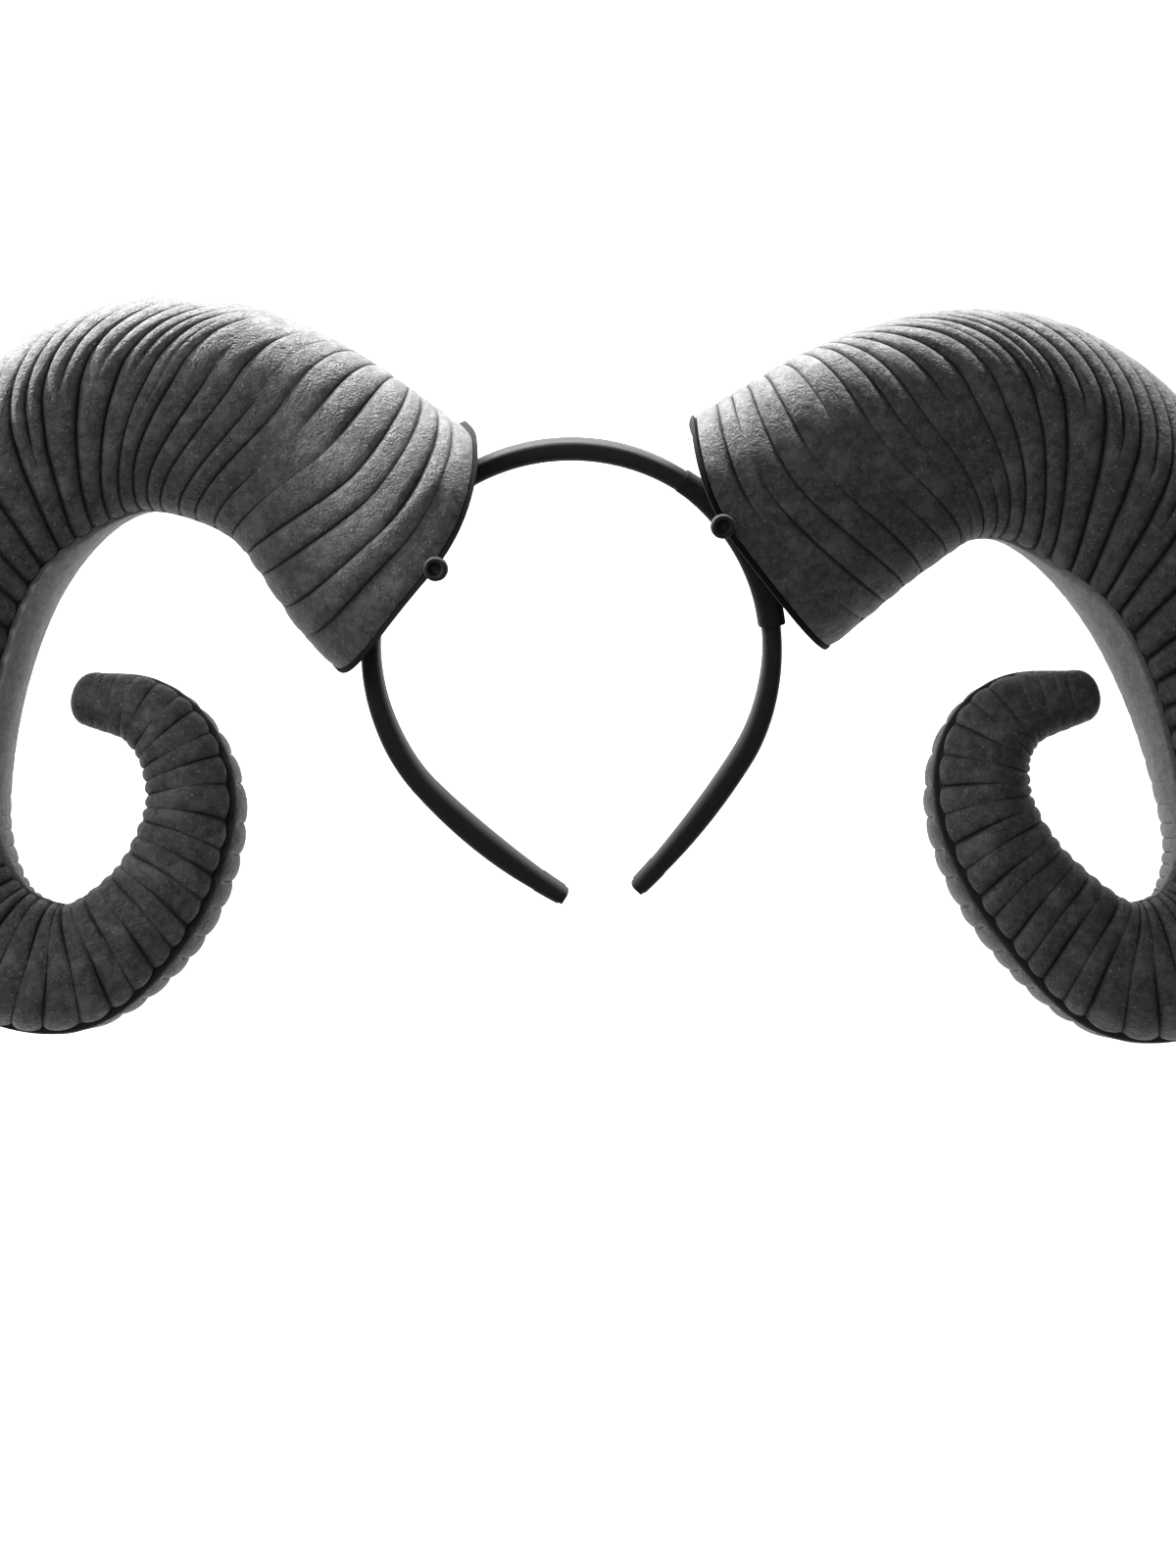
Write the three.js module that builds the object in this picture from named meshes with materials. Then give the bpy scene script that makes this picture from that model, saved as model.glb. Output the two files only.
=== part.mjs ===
// Ram horns headband: two hollow moulded foam horns with ribbed skins on a slim cloth-covered
// hair band. It lies on its back. Millimetres, +X across to the right as seen from in front,
// +Y toward the crown of the band, +Z out of the front. The origin is the middle of the
// whole object's box, on the surface that it rests on.
import * as THREE from "three";

// Hair band
const BAND_RADIUS = 58.9;        // from the middle of the head opening to the middle of the band
const BAND_STRETCH = 1.02;       // the opening is this much taller than it is round
const BAND_THICK = 4.8;
const ARM_THICK = 5.8;           // the arms swell a little below the horns
const TIP_THICK = 4.2;
const BAND_WIDE = 10.4;
const TIP_WIDE = 8.6;
const ARM_SWELL = 0.5;           // share of BAND_RADIUS over which the arms swell
const BAND_FACE_ROUNDNESS = 0.5; // below 1 the band's section is fuller than an ellipse
const BAND_EDGE_ROUNDNESS = 0.6;
const BLUNT_END = 0.7;           // the last section of an arm, as a share of a full one
const BAND_PITCH = 13.6;         // degrees that the crown lies higher than the ends
const BAND_CENTRE_X = -4.8;
const BAND_CENTRE_Y = 38.9;
const LEFT_ARM_LENGTH = 52.5;
const RIGHT_ARM_LENGTH = 51;
const WRAP_WALL = 0.6;           // folded end of the cloth cover
const WRAP_LENGTH = 8;
const WRAP_BACK = 1.2;           // the bare tip shows this much past the fold

// The band's arms. sweep: degrees past the widest place where an arm starts. bend: degrees
// that it still turns up to its tip.
const LEFT_ARM = { side: -1, sweep: 43.5, bend: 16, length: LEFT_ARM_LENGTH };
const RIGHT_ARM = { side: 1, sweep: 31.5, bend: 13, length: RIGHT_ARM_LENGTH };

// Sleeve that holds a horn's pad on the band
const SLEEVE_WALL = 1.2;
const SLEEVE_FROM = 8;           // degrees above the widest place of the band
const SLEEVE_TO = 57;

// Horn
const BASE_WIDTH = 77;           // across the base, in the plane of the spiral
const HORN_REACH = 136;          // from the middle of the base out to the far side of the loop
const HORN_DROP = 125;           // from the middle of the base down to the lowest turn
const SWEEP_BACK = 4;            // degrees that the spiral leans back from the base outward
const SHELL_WALL = 3;
const SEAM_GAP = 0.45;
const RIB_PITCH = 7.3;
const RIB_DEPTH = 1.1;
const RIB_SWEEP = 24;            // how far a rib's inner end runs ahead of its front
const RIB_FAN = 35;              // how much farther its outer end lags behind the front
const SWEEP_FROM = 172;          // degrees round the section between which a rib sweeps
const SWEEP_TO = 100;
const FAN_FROM = 120;            // degrees between which it fans out
const FAN_TO = 10;
const TIP_DOME = 6.3;

// Base rim and pad
const RIM_FADE = 60;             // length of horn over which the ribs stop following the rim
const PAD_THICK = 3;
const PAD_GAP = 0.5;             // clearance between the pad and the rim
const FIT_GAP = 0.3;             // clearance between neighbouring pieces

// Ribbon loop for a hair pin, on the front of the rim
const LOOP_RADIUS = 3.4;
const LOOP_HOLE = 2;
const LOOP_HEIGHT = 2.4;
const LOOP_BACK = 2;             // from the rim toward the head

// Mesh steps
const LINE_DIVISIONS = 600;      // measuring steps along a horn's middle line
const HALF_SEGMENTS = 8;
const RINGS_PER_LINING = 4;
const TIP_TURNS = [25, 50, 72];  // degrees round the dome of a horn's tip
const BAND_SIDES = 10;
const BAND_STEP = 8;             // degrees
const ARM_SHARES = [1, 0.975, 0.82, 0.62, 0.41, 0.2]; // stations of an arm, from its tip
const PAD_SIDES = 2 * HALF_SEGMENTS;
const PAD_SHARES = [1, 0.67, 0.33];
const LOOP_STEPS = 7;

// The middle line of each horn: shares of HORN_REACH outward and HORN_DROP upward from the
// middle of its base, and its width as a share of BASE_WIDTH.
const LEFT_SPIRAL = [
  { out: 0.0, up: 0.0, wide: 1.0 },
  { out: 0.199, up: 0.208, wide: 0.85 },
  { out: 0.396, up: 0.308, wide: 0.817 },
  { out: 0.588, up: 0.316, wide: 0.787 },
  { out: 0.766, up: 0.207, wide: 0.755 },
  { out: 0.913, up: -0.018, wide: 0.71 },
  { out: 1.0, up: -0.335, wide: 0.658 },
  { out: 1.009, up: -0.674, wide: 0.603 },
  { out: 0.899, up: -0.909, wide: 0.535 },
  { out: 0.7, up: -0.976, wide: 0.487 },
  { out: 0.521, up: -0.838, wide: 0.438 },
  { out: 0.44, up: -0.635, wide: 0.39 },
  { out: 0.465, up: -0.481, wide: 0.34 },
  { out: 0.545, up: -0.386, wide: 0.288 },
  { out: 0.659, up: -0.354, wide: 0.236 },
];
const RIGHT_SPIRAL = [
  { out: 0.0, up: 0.0, wide: 1.0 },
  { out: 0.204, up: 0.151, wide: 0.935 },
  { out: 0.396, up: 0.242, wide: 0.858 },
  { out: 0.581, up: 0.23, wide: 0.83 },
  { out: 0.753, up: 0.107, wide: 0.8 },
  { out: 0.903, up: -0.114, wide: 0.757 },
  { out: 1.011, up: -0.411, wide: 0.708 },
  { out: 1.055, up: -0.734, wide: 0.651 },
  { out: 0.963, up: -0.957, wide: 0.58 },
  { out: 0.77, up: -1.008, wide: 0.525 },
  { out: 0.579, up: -0.851, wide: 0.468 },
  { out: 0.478, up: -0.667, wide: 0.419 },
  { out: 0.475, up: -0.514, wide: 0.378 },
  { out: 0.546, up: -0.414, wide: 0.328 },
  { out: 0.683, up: -0.374, wide: 0.25 },
];

// The sections at the same stations. deep: depth as a share of width. crest: how far the
// front ridge stands toward the outer side, as a share of half the width. seamOut, seamIn:
// degrees that the outer and inner seams turn to the front. pitch, relief, sweep, fan:
// shares of RIB_PITCH, RIB_DEPTH, RIB_SWEEP and RIB_FAN.
const SECTIONS = [
  { deep: 0.883, crest: 0.44, seamOut: 0, seamIn: 0, pitch: 1.0, relief: 0.6, sweep: 0.0, fan: 0.0 },
  { deep: 0.88, crest: 0.44, seamOut: 0, seamIn: 0, pitch: 1.35, relief: 0.7, sweep: 0.5, fan: 0.0 },
  { deep: 0.88, crest: 0.42, seamOut: 0, seamIn: 0, pitch: 1.25, relief: 0.8, sweep: 0.72, fan: 0.25 },
  { deep: 0.87, crest: 0.36, seamOut: 0, seamIn: 2, pitch: 1.55, relief: 0.9, sweep: 0.92, fan: 0.65 },
  { deep: 0.86, crest: 0.3, seamOut: 0, seamIn: 10, pitch: 1.45, relief: 1.0, sweep: 1.0, fan: 1.0 },
  { deep: 0.84, crest: 0.24, seamOut: 0, seamIn: 27, pitch: 1.35, relief: 1.0, sweep: 0.55, fan: 0.85 },
  { deep: 0.83, crest: 0.2, seamOut: 0, seamIn: 27, pitch: 1.3, relief: 1.0, sweep: 0.05, fan: 0.3 },
  { deep: 0.83, crest: 0.16, seamOut: 0, seamIn: 20, pitch: 1.2, relief: 1.0, sweep: 0.0, fan: 0.1 },
  { deep: 0.86, crest: 0.12, seamOut: 5, seamIn: 8, pitch: 1.15, relief: 1.0, sweep: 0.0, fan: 0.08 },
  { deep: 0.9, crest: 0.08, seamOut: 17, seamIn: 0, pitch: 1.15, relief: 1.0, sweep: 0.0, fan: 0.08 },
  { deep: 0.93, crest: 0.05, seamOut: 36, seamIn: 0, pitch: 1.15, relief: 1.0, sweep: 0.0, fan: 0.12 },
  { deep: 0.95, crest: 0.03, seamOut: 34, seamIn: 0, pitch: 1.05, relief: 0.9, sweep: 0.0, fan: 0.08 },
  { deep: 0.97, crest: 0.0, seamOut: 18, seamIn: 0, pitch: 0.85, relief: 0.7, sweep: 0.0, fan: 0.0 },
  { deep: 1.0, crest: 0.0, seamOut: 6, seamIn: 0, pitch: 0.7, relief: 0.5, sweep: 0.0, fan: 0.0 },
  { deep: 1.0, crest: 0.0, seamOut: 0, seamIn: 0, pitch: 0.6, relief: 0.4, sweep: 0.0, fan: 0.0 },
];

// Each horn's place and rim. saddle: how far the rim's two corners reach back toward the
// head. lean: how far the front of the rim overhangs its back. turn: how far the outer
// corner stands off and the inner one reaches in. corner: how far the front's outer corner
// is cut back. loop: degrees round the rim from its outer corner to the pin loop.
const LEFT_HORN = {
  side: -1, name: "left", baseX: -54, baseY: 68.8, spiral: LEFT_SPIRAL,
  saddle: 9, lean: 35, turn: 9, corner: 15, loop: 108,
};
const RIGHT_HORN = {
  side: 1, name: "right", baseX: 49.4, baseY: 72.2, spiral: RIGHT_SPIRAL,
  saddle: 2.2, lean: 19, turn: 1, corner: 11, loop: 103,
};

const BASE_HALF_DEPTH = BASE_WIDTH * SECTIONS[0].deep / 2;
const ROUNDNESS = 0.8;           // below 1 the section is fuller than an ellipse

const foam = new THREE.MeshStandardMaterial({
  name: "horn_foam", color: 0x2a292b, roughness: 0.72, metalness: 0,
});
const foamBack = new THREE.MeshStandardMaterial({
  name: "horn_foam_back", color: 0x333235, roughness: 0.75, metalness: 0,
});
const bandCloth = new THREE.MeshStandardMaterial({
  name: "band_cloth", color: 0x1d1d1f, roughness: 0.55, metalness: 0,
});
const padFoam = new THREE.MeshStandardMaterial({
  name: "pad_foam", color: 0x1a1a1b, roughness: 0.9, metalness: 0,
});
const ribbon = new THREE.MeshStandardMaterial({
  name: "ribbon", color: 0x202022, roughness: 0.7, metalness: 0,
});

const object = new THREE.Group();
const radians = THREE.MathUtils.degToRad;

// A closed solid from points and triangles, turned so that its faces look outward
function solid(points, triangles) {
  let volume = 0;
  for (const [i, j, k] of triangles) {
    volume += points[i].dot(new THREE.Vector3().crossVectors(points[j], points[k]));
  }
  const order = volume < 0 ? ([i, j, k]) => [i, k, j] : (face) => face;
  const geometry = new THREE.BufferGeometry();
  geometry.setAttribute("position",
    new THREE.Float32BufferAttribute(points.flatMap((p) => [p.x, p.y, p.z]), 3));
  geometry.setIndex(triangles.map(order).flat());
  geometry.computeVertexNormals();
  return geometry;
}

function addPiece(name, geometry, material) {
  const mesh = new THREE.Mesh(geometry, material);
  mesh.name = name;
  object.add(mesh);
}

// Walls between neighbouring rings of points, each ring closed on itself
function ringWalls(triangles, starts, count, flip = false) {
  for (let r = 0; r + 1 < starts.length; r += 1) {
    for (let i = 0; i < count; i += 1) {
      const a = starts[r] + i;
      const b = starts[r] + (i + 1) % count;
      const c = starts[r + 1] + i;
      const d = starts[r + 1] + (i + 1) % count;
      triangles.push(...(flip ? [[a, c, b], [b, c, d]] : [[a, b, c], [b, d, c]]));
    }
  }
}

// A solid bar through rings of points, closed by a fan at each end
function barSolid(rings) {
  const points = rings.flat();
  const count = rings[0].length;
  const triangles = [];
  ringWalls(triangles, rings.map((_, r) => r * count), count);
  for (const [ring, flip] of [[0, false], [rings.length - 1, true]]) {
    const middle = points.length;
    const sum = rings[ring].reduce((m, p) => m.add(p), new THREE.Vector3());
    points.push(sum.divideScalar(count));
    for (let i = 0; i < count; i += 1) {
      const a = ring * count + i;
      const b = ring * count + (i + 1) % count;
      triangles.push(flip ? [middle, a, b] : [middle, b, a]);
    }
  }
  return solid(points, triangles);
}

// A pipe between outer and inner rings of points, open at both ends
function pipeSolid(outerRings, innerRings) {
  const points = [...outerRings.flat(), ...innerRings.flat()];
  const count = outerRings[0].length;
  const last = outerRings.length - 1;
  const innerStart = outerRings.length * count;
  const triangles = [];
  ringWalls(triangles, outerRings.map((_, r) => r * count), count);
  ringWalls(triangles, innerRings.map((_, r) => innerStart + r * count), count, true);
  ringWalls(triangles, [0, innerStart], count, true);
  ringWalls(triangles, [last * count, innerStart + last * count], count);
  return solid(points, triangles);
}

// Triangles between two edges of points that start and end side by side
function zipEdges(triangles, edgeA, edgeB) {
  let i = 0;
  let j = 0;
  while (i + 1 < edgeA.length || j + 1 < edgeB.length) {
    const nextA = (i + 1) / (edgeA.length - 1);
    const nextB = (j + 1) / (edgeB.length - 1);
    if (j + 1 >= edgeB.length || (i + 1 < edgeA.length && nextA <= nextB)) {
      triangles.push([edgeA[i], edgeA[i + 1], edgeB[j]]);
      i += 1;
    } else {
      triangles.push([edgeA[i], edgeB[j + 1], edgeB[j]]);
      j += 1;
    }
  }
}

const signedPower = (value, power) => Math.sign(value) * Math.abs(value) ** power;

// The hair band's middle line in its own plane: an arc with a gently bent arm at each end
function bandPoint(angle) {
  return new THREE.Vector2(
    BAND_RADIUS * Math.cos(radians(angle)),
    BAND_RADIUS * BAND_STRETCH * Math.sin(radians(angle)));
}

// The place at this share of an arm's length from the arc, and the way that the arm runs
// there. The place lies at the end of a chord, turned by half of the bend up to it.
function armStation({ side, sweep, bend, length }, share) {
  const start = bandPoint(side > 0 ? -sweep : 180 + sweep);
  const way = new THREE.Vector2(
    -side * Math.sin(radians(sweep)), -Math.cos(radians(sweep)) * BAND_STRETCH).normalize();
  const turn = -side * radians(bend) * share;
  const chord = length * share * (turn === 0 ? 1 : Math.sin(turn / 2) / (turn / 2));
  const origin = new THREE.Vector2();
  return {
    at: start.addScaledVector(way.clone().rotateAround(origin, turn / 2), chord),
    along: way.clone().rotateAround(origin, turn),
    arm: share,
  };
}

function bandStations() {
  const arc = 180 + LEFT_ARM.sweep + RIGHT_ARM.sweep;
  const steps = Math.round(arc / BAND_STEP);
  return [
    ...ARM_SHARES.map((share) => armStation(RIGHT_ARM, share)),
    ...Array.from({ length: steps + 1 }, (_, i) => (
      { at: bandPoint(-RIGHT_ARM.sweep + arc * i / steps), arm: 0 })),
    ...[...ARM_SHARES].reverse().map((share) => armStation(LEFT_ARM, share)),
  ];
}

// The lower end of the band's plane stands just high enough for its folded ends to touch
// the surface that the horns' backs lie on
const BAND_CENTRE_Z = -armStation(LEFT_ARM, 1).at.y * Math.sin(radians(BAND_PITCH))
  + (TIP_WIDE / 2 + FIT_GAP + WRAP_WALL) * Math.cos(radians(BAND_PITCH));

// A point of the band's own plane, with height w above it, in the object's frame
function placeOnBand(flat, w) {
  const pitch = radians(BAND_PITCH);
  return new THREE.Vector3(
    BAND_CENTRE_X + flat.x,
    BAND_CENTRE_Y + flat.y * Math.cos(pitch) - w * Math.sin(pitch),
    BAND_CENTRE_Z + flat.y * Math.sin(pitch) + w * Math.cos(pitch));
}

// A ring round the band: a rounded oblong, larger by grow on every side
function bandRing(at, along, thick, wide, grow) {
  const outward = new THREE.Vector2(along.y, -along.x);
  const ring = [];
  for (let i = 0; i < BAND_SIDES; i += 1) {
    const turn = 2 * Math.PI * (i + 0.5) / BAND_SIDES;
    const n = (thick / 2 + grow) * signedPower(Math.cos(turn), BAND_FACE_ROUNDNESS);
    const w = (wide / 2 + grow) * signedPower(Math.sin(turn), BAND_EDGE_ROUNDNESS);
    ring.push(placeOnBand(at.clone().addScaledVector(outward, n), w));
  }
  return ring;
}

function armThickness(station) {
  const swell = THREE.MathUtils.clamp(-station.at.y / (BAND_RADIUS * ARM_SWELL), 0, 1);
  const thick = THREE.MathUtils.lerp(BAND_THICK, ARM_THICK, swell);
  return THREE.MathUtils.lerp(thick, TIP_THICK, station.arm);
}

function addBand() {
  const stations = bandStations();
  const rings = stations.map((station, i) => {
    const before = stations[Math.max(0, i - 1)].at;
    const after = stations[Math.min(stations.length - 1, i + 1)].at;
    const along = after.clone().sub(before).normalize();
    const end = i === 0 || i === stations.length - 1 ? BLUNT_END : 1;
    const wide = THREE.MathUtils.lerp(BAND_WIDE, TIP_WIDE, station.arm);
    return bandRing(station.at, along, armThickness(station) * end, wide * end, 0);
  });
  addPiece("headband", barSolid(rings), bandCloth);
}

// The folded end of the band's cloth cover, a short pipe round the tip of an arm
function addEndWrap(name, arm) {
  const ringAt = (back, grow) => {
    const station = armStation(arm, 1 - back / arm.length);
    const wide = THREE.MathUtils.lerp(BAND_WIDE, TIP_WIDE, station.arm);
    return bandRing(station.at, station.along, armThickness(station), wide, grow);
  };
  const ends = [WRAP_BACK, WRAP_BACK + WRAP_LENGTH];
  addPiece(name, pipeSolid(
    ends.map((back) => ringAt(back, FIT_GAP + WRAP_WALL)),
    ends.map((back) => ringAt(back, FIT_GAP))), bandCloth);
}

// The rings of a sleeve's skin, larger than the band by grow on every side
function sleeveRings(side, grow) {
  const steps = Math.round((SLEEVE_TO - SLEEVE_FROM) / BAND_STEP);
  return Array.from({ length: steps + 1 }, (_, i) => {
    const rise = THREE.MathUtils.lerp(SLEEVE_FROM, SLEEVE_TO, i / steps);
    const angle = side > 0 ? rise : 180 - rise;
    const along = new THREE.Vector2(
      -Math.sin(radians(angle)), Math.cos(radians(angle)) * BAND_STRETCH).normalize();
    return bandRing(bandPoint(angle), along, BAND_THICK, BAND_WIDE, grow);
  });
}

// One horn: its middle line, its sections, and points on or inside its skin
class Horn {
  constructor(spec) {
    this.spec = spec;
    this.base = new THREE.Vector3(spec.baseX, spec.baseY, BASE_HALF_DEPTH);
    this.line = new THREE.CatmullRomCurve3(spec.spiral.map(
      ({ out, up }) => new THREE.Vector3(out * HORN_REACH, up * HORN_DROP, 0)),
      false, "catmullrom", 0.5);
    this.line.arcLengthDivisions = LINE_DIVISIONS;
    this.length = this.line.getLength();
    const columns = (pick) => new THREE.CatmullRomCurve3(
      SECTIONS.map((row, i) => new THREE.Vector3(...pick(row, spec.spiral[i]))),
      false, "catmullrom", 0.5);
    this.sizes = columns((row, station) => [station.wide * BASE_WIDTH / 2, row.deep, row.crest]);
    this.seams = columns((row) => [row.seamOut, row.seamIn, row.relief]);
    this.ribs = columns((row) => [row.pitch * RIB_PITCH, row.sweep * RIB_SWEEP, row.fan * RIB_FAN]);
    this.cup = this.cupDepth();
  }

  share(s) {
    return THREE.MathUtils.clamp(s / this.length, 0, 1);
  }

  // Half width and half depth of the section at distance s, less the wall where inside
  section(s, inset) {
    const size = this.sizes.getPoint(this.line.getUtoTmapping(this.share(s)));
    const past = Math.max(0, s - this.length) / (TIP_DOME - inset);
    const dome = Math.sqrt(Math.max(0, 1 - past * past));
    return {
      halfWide: (size.x - inset) * dome,
      halfDeep: (size.x * size.y - inset) * dome,
      crest: size.z,
    };
  }

  // Where angle phi of the section at s lies: across toward the outer side, and to the front
  skin(s, phi, inset = 0, groove = 0) {
    const { halfWide, halfDeep, crest } = this.section(s, inset);
    const sine = Math.sin(phi);
    return {
      across: (halfWide - groove) * (Math.cos(phi) + crest * sine * sine),
      front: (halfDeep - groove) * signedPower(sine, ROUNDNESS),
    };
  }

  // The object's frame from the horn's own: distance s along, then across and front
  place(s, across, front) {
    const u = this.share(s);
    const at = this.line.getPointAt(u);
    const along = this.line.getTangentAt(u);
    at.addScaledVector(along, s - u * this.length);
    at.addScaledVector(new THREE.Vector3(-along.y, along.x, 0), across);
    const lean = radians(SWEEP_BACK);
    return new THREE.Vector3(
      this.base.x + this.spec.side * (at.x * Math.cos(lean) + front * Math.sin(lean)),
      this.base.y + at.y,
      this.base.z - at.x * Math.sin(lean) + front * Math.cos(lean));
  }

  // The rim's form over the base, without the depth of its cup
  rimForm(across, front) {
    const a = across / (BASE_WIDTH / 2);
    const b = (front + BASE_HALF_DEPTH) / (2 * BASE_HALF_DEPTH);
    const { saddle, lean, turn, corner } = this.spec;
    return turn * a - saddle * a * a - lean * b * b + corner * Math.max(0, a) ** 2 * b * b;
  }

  // The cup is as deep as it has to be for the pad to clear the sleeve on the band. The
  // pad's flat faces lie under the curved form by a quarter of the step's square.
  cupDepth() {
    const along = this.line.getTangentAt(0);
    const lean = radians(SWEEP_BACK);
    const needs = sleeveRings(this.spec.side, FIT_GAP + SLEEVE_WALL).flat().map((point) => {
      const { x, y, z } = point.sub(this.base);
      const out = this.spec.side * x * Math.cos(lean) - z * Math.sin(lean);
      const front = this.spec.side * x * Math.sin(lean) + z * Math.cos(lean);
      const s = out * along.x + y * along.y;
      const across = y * along.x - out * along.y;
      return s - this.rimForm(across, front);
    });
    const step = 1 / PAD_SHARES.length;
    const sag = (this.spec.saddle + this.spec.lean / 4) * step * step / 4;
    return Math.max(...needs) + sag + FIT_GAP + PAD_GAP + PAD_THICK;
  }

  // How far the rim lies along the horn from the middle of the base
  rim(across, front) {
    return this.cup + this.rimForm(across, front);
  }

  // The distance along the horn of a rib line at angle phi. It follows the rim near the
  // base. Farther on its inner end runs ahead and its outer end lags behind.
  ribStation(s, phi, inset) {
    const { smoothstep, radToDeg } = THREE.MathUtils;
    const follow = 1 - smoothstep(s, 0, RIM_FADE);
    const base = this.skin(0, phi, inset);
    const rib = this.ribs.getPoint(this.line.getUtoTmapping(this.share(s)));
    const turn = radToDeg(Math.acos(Math.cos(phi)));
    const sweep = rib.y * (1 - smoothstep(turn, SWEEP_TO, SWEEP_FROM));
    const fan = rib.z * (1 - smoothstep(turn, FAN_TO, FAN_FROM));
    return s + follow * this.rim(base.across, base.front) - sweep - fan;
  }

  // Rib crests and grooves in turn, then the rounded tip
  rings() {
    const rings = [];
    let s = 0;
    let groove = false;
    while (s < this.length) {
      const t = this.line.getUtoTmapping(this.share(s));
      rings.push({ s, groove: groove ? this.seams.getPoint(t).z * RIB_DEPTH : 0 });
      s += this.ribs.getPoint(t).x / 2;
      groove = !groove;
    }
    for (const turn of TIP_TURNS) {
      rings.push({ s: this.length + TIP_DOME * Math.sin(radians(turn)), groove: 0 });
    }
    return rings;
  }

  // The angles of the two seams, pushed apart by half the seam's gap
  seamAngles(s, half, radius) {
    const seam = this.seams.getPoint(this.line.getUtoTmapping(this.share(s)));
    const gap = SEAM_GAP / 2 / Math.max(radius, SEAM_GAP);
    return {
      outer: radians(seam.x) + half * gap,
      inner: Math.PI - radians(seam.y) - half * gap,
    };
  }

  // One ring of a half shell's skin, from its outer seam round to its inner seam
  halfRing(s, half, inset, groove) {
    const { halfWide } = this.section(s, inset);
    const { outer, inner } = this.seamAngles(s, half, halfWide);
    const sweep = half > 0 ? inner - outer : inner - outer - 2 * Math.PI;
    const ring = [];
    for (let i = 0; i <= HALF_SEGMENTS; i += 1) {
      const phi = outer + sweep * i / HALF_SEGMENTS;
      const station = s < this.length ? this.ribStation(s, phi, inset) : s;
      const { across, front } = this.skin(station, phi, inset, groove);
      ring.push(this.place(station, across, front));
    }
    return ring;
  }
}

// Half of a horn's skin: ribbed outside, smooth inside, joined along the seam and the rim
function halfShell(horn, half) {
  const rings = horn.rings();
  const points = [];
  const triangles = [];
  const count = HALF_SEGMENTS + 1;
  const addSkin = (stations, inset, pole, flip) => {
    const start = points.length;
    stations.forEach(({ s, groove }) => points.push(...horn.halfRing(s, half, inset, groove)));
    for (let r = 0; r + 1 < stations.length; r += 1) {
      for (let i = 0; i + 1 < count; i += 1) {
        const a = start + r * count + i;
        const b = a + count;
        triangles.push(...(flip ? [[a, b, a + 1], [a + 1, b, b + 1]]
          : [[a, a + 1, b], [a + 1, b + 1, b]]));
      }
    }
    const tip = points.length;
    points.push(horn.place(pole, 0, half * SEAM_GAP / 2));
    const last = start + (stations.length - 1) * count;
    for (let i = 0; i + 1 < count; i += 1) {
      triangles.push(flip ? [last + i, tip, last + i + 1] : [last + i, last + i + 1, tip]);
    }
    const row = (r, i) => start + r * count + i;
    return {
      rim: Array.from({ length: count }, (_, i) => start + i),
      outerSeam: [...stations.map((_, r) => row(r, 0)), tip],
      innerSeam: [...stations.map((_, r) => row(r, count - 1)), tip],
    };
  };
  const outside = addSkin(rings, 0, horn.length + TIP_DOME, false);
  const lining = rings.filter((_, r) => r % RINGS_PER_LINING === 0)
    .map(({ s }) => ({ s: Math.min(s, horn.length), groove: 0 }));
  const inside = addSkin(lining, SHELL_WALL, horn.length + TIP_DOME - SHELL_WALL, true);
  zipEdges(triangles, outside.outerSeam, inside.outerSeam);
  zipEdges(triangles, inside.innerSeam, outside.innerSeam);
  zipEdges(triangles, inside.rim, outside.rim);
  return solid(points, triangles);
}

// The pad that closes a horn's base. Its two faces follow the rim.
function padSolid(horn) {
  const points = [];
  const triangles = [];
  const faces = [PAD_GAP, PAD_GAP + PAD_THICK].map((toHead) => {
    const starts = [];
    const addRing = (inset, share) => {
      starts.push(points.length);
      for (let i = 0; i < PAD_SIDES; i += 1) {
        const edge = horn.skin(0, 2 * Math.PI * i / PAD_SIDES, inset);
        const across = edge.across * share;
        const front = edge.front * share;
        points.push(horn.place(horn.rim(across, front) - toHead, across, front));
      }
    };
    addRing(0, 1);
    PAD_SHARES.forEach((share) => addRing(SHELL_WALL, share));
    const middle = points.length;
    points.push(horn.place(horn.rim(0, 0) - toHead, 0, 0));
    return { starts, middle };
  });
  faces.forEach(({ starts, middle }, f) => {
    ringWalls(triangles, starts, PAD_SIDES, f === 1);
    const inner = starts[starts.length - 1];
    for (let i = 0; i < PAD_SIDES; i += 1) {
      const a = inner + i;
      const b = inner + (i + 1) % PAD_SIDES;
      triangles.push(f === 1 ? [a, middle, b] : [a, b, middle]);
    }
  });
  ringWalls(triangles, [faces[0].starts[0], faces[1].starts[0]], PAD_SIDES, true);
  return solid(points, triangles);
}

// A flat ring of ribbon on the front of the pad's edge, facing out from the skin
function pinLoop(horn) {
  const edge = horn.skin(0, radians(horn.spec.loop));
  const s = horn.rim(edge.across, edge.front) - LOOP_BACK;
  const at = horn.place(s, edge.across, edge.front);
  const beside = horn.skin(0, radians(horn.spec.loop + 1));
  const along = horn.place(s + 1, edge.across, edge.front).sub(at);
  const round = horn.place(s, beside.across, beside.front).sub(at);
  const normal = new THREE.Vector3().crossVectors(along, round).normalize();
  normal.multiplyScalar(Math.sign(normal.z));
  const shape = new THREE.Shape().absarc(0, 0, LOOP_RADIUS, 0, 2 * Math.PI);
  shape.holes.push(new THREE.Path().absarc(0, 0, LOOP_HOLE, 0, 2 * Math.PI, true));
  const geometry = new THREE.ExtrudeGeometry(shape, {
    depth: LOOP_HEIGHT, bevelEnabled: false, curveSegments: LOOP_STEPS,
  });
  const turn = new THREE.Quaternion().setFromUnitVectors(new THREE.Vector3(0, 0, 1), normal);
  return { geometry, turn, at: at.addScaledVector(normal, FIT_GAP / 2) };
}

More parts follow.
